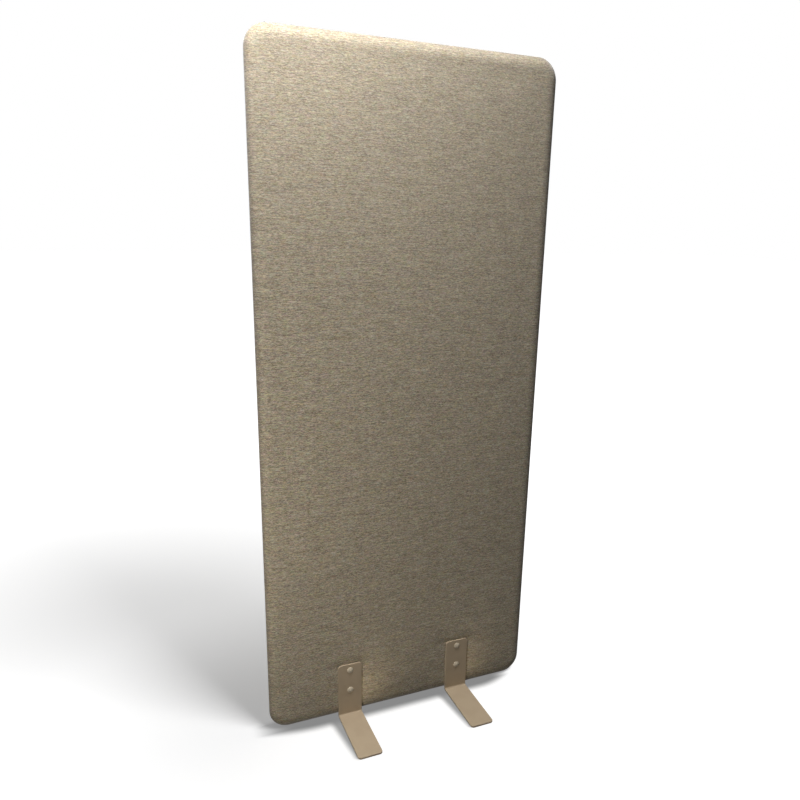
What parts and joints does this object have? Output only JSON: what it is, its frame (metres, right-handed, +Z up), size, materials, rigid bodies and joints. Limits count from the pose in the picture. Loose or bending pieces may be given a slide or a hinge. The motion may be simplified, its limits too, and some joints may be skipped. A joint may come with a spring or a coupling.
{
  "type": "acoustic divider screen",
  "caption": "Free-standing upholstered acoustic screen: tall padded panel with rounded corners on flat L-shaped steel feet, front and rear.",
  "frame": {"origin": "on the floor under the middle of the panel, half way between the front and rear feet", "axes": "+X along the panel to the right as seen from the front, -Y out of the front face, +Z up"},
  "size_m": [0.8, 0.412, 1.804],
  "materials": {
    "timber": "sawn spruce",
    "plywood": "sanded birch plywood",
    "core_board": "off-white pressed polyester fibre board",
    "wadding": "white polyester wadding",
    "cover_fabric": "greige melange upholstery weave with fine horizontal slubs",
    "powder_coat": "beige fine-texture powder coat",
    "bolt_paint": "beige painted steel, satin",
    "dowel_wood": "fluted beech",
    "zinc": "bright zinc plate",
    "pad_rubber": "black anti-slip rubber"
  },
  "bodies": {
    "root": {"stile_left": "timber", "stile_right": "timber", "rail_top": "timber", "rail_middle": "timber", "rail_bottom": "timber", "foot_block_left": "timber", "foot_block_right": "timber", "corner_block_top_left": "plywood", "corner_block_top_right": "plywood", "corner_block_bottom_left": "plywood", "corner_block_bottom_right": "plywood", "core_upper": "core_board", "core_lower": "core_board", "wadding_front": "wadding", "cover_front": "cover_fabric", "foot_front_left": "powder_coat", "foot_pad_front_left": "pad_rubber", "foot_front_right": "powder_coat", "foot_pad_front_right": "pad_rubber", "wadding_rear": "wadding", "cover_rear": "cover_fabric", "foot_rear_left": "powder_coat", "foot_pad_rear_left": "pad_rubber", "foot_rear_right": "powder_coat", "foot_pad_rear_right": "pad_rubber", "foot_bolts": "bolt_paint", "sleeve_nuts": "bolt_paint", "frame_dowels": "dowel_wood", "block_screws": "zinc", "cover_staples": "zinc"}
  },
  "joints": []
}
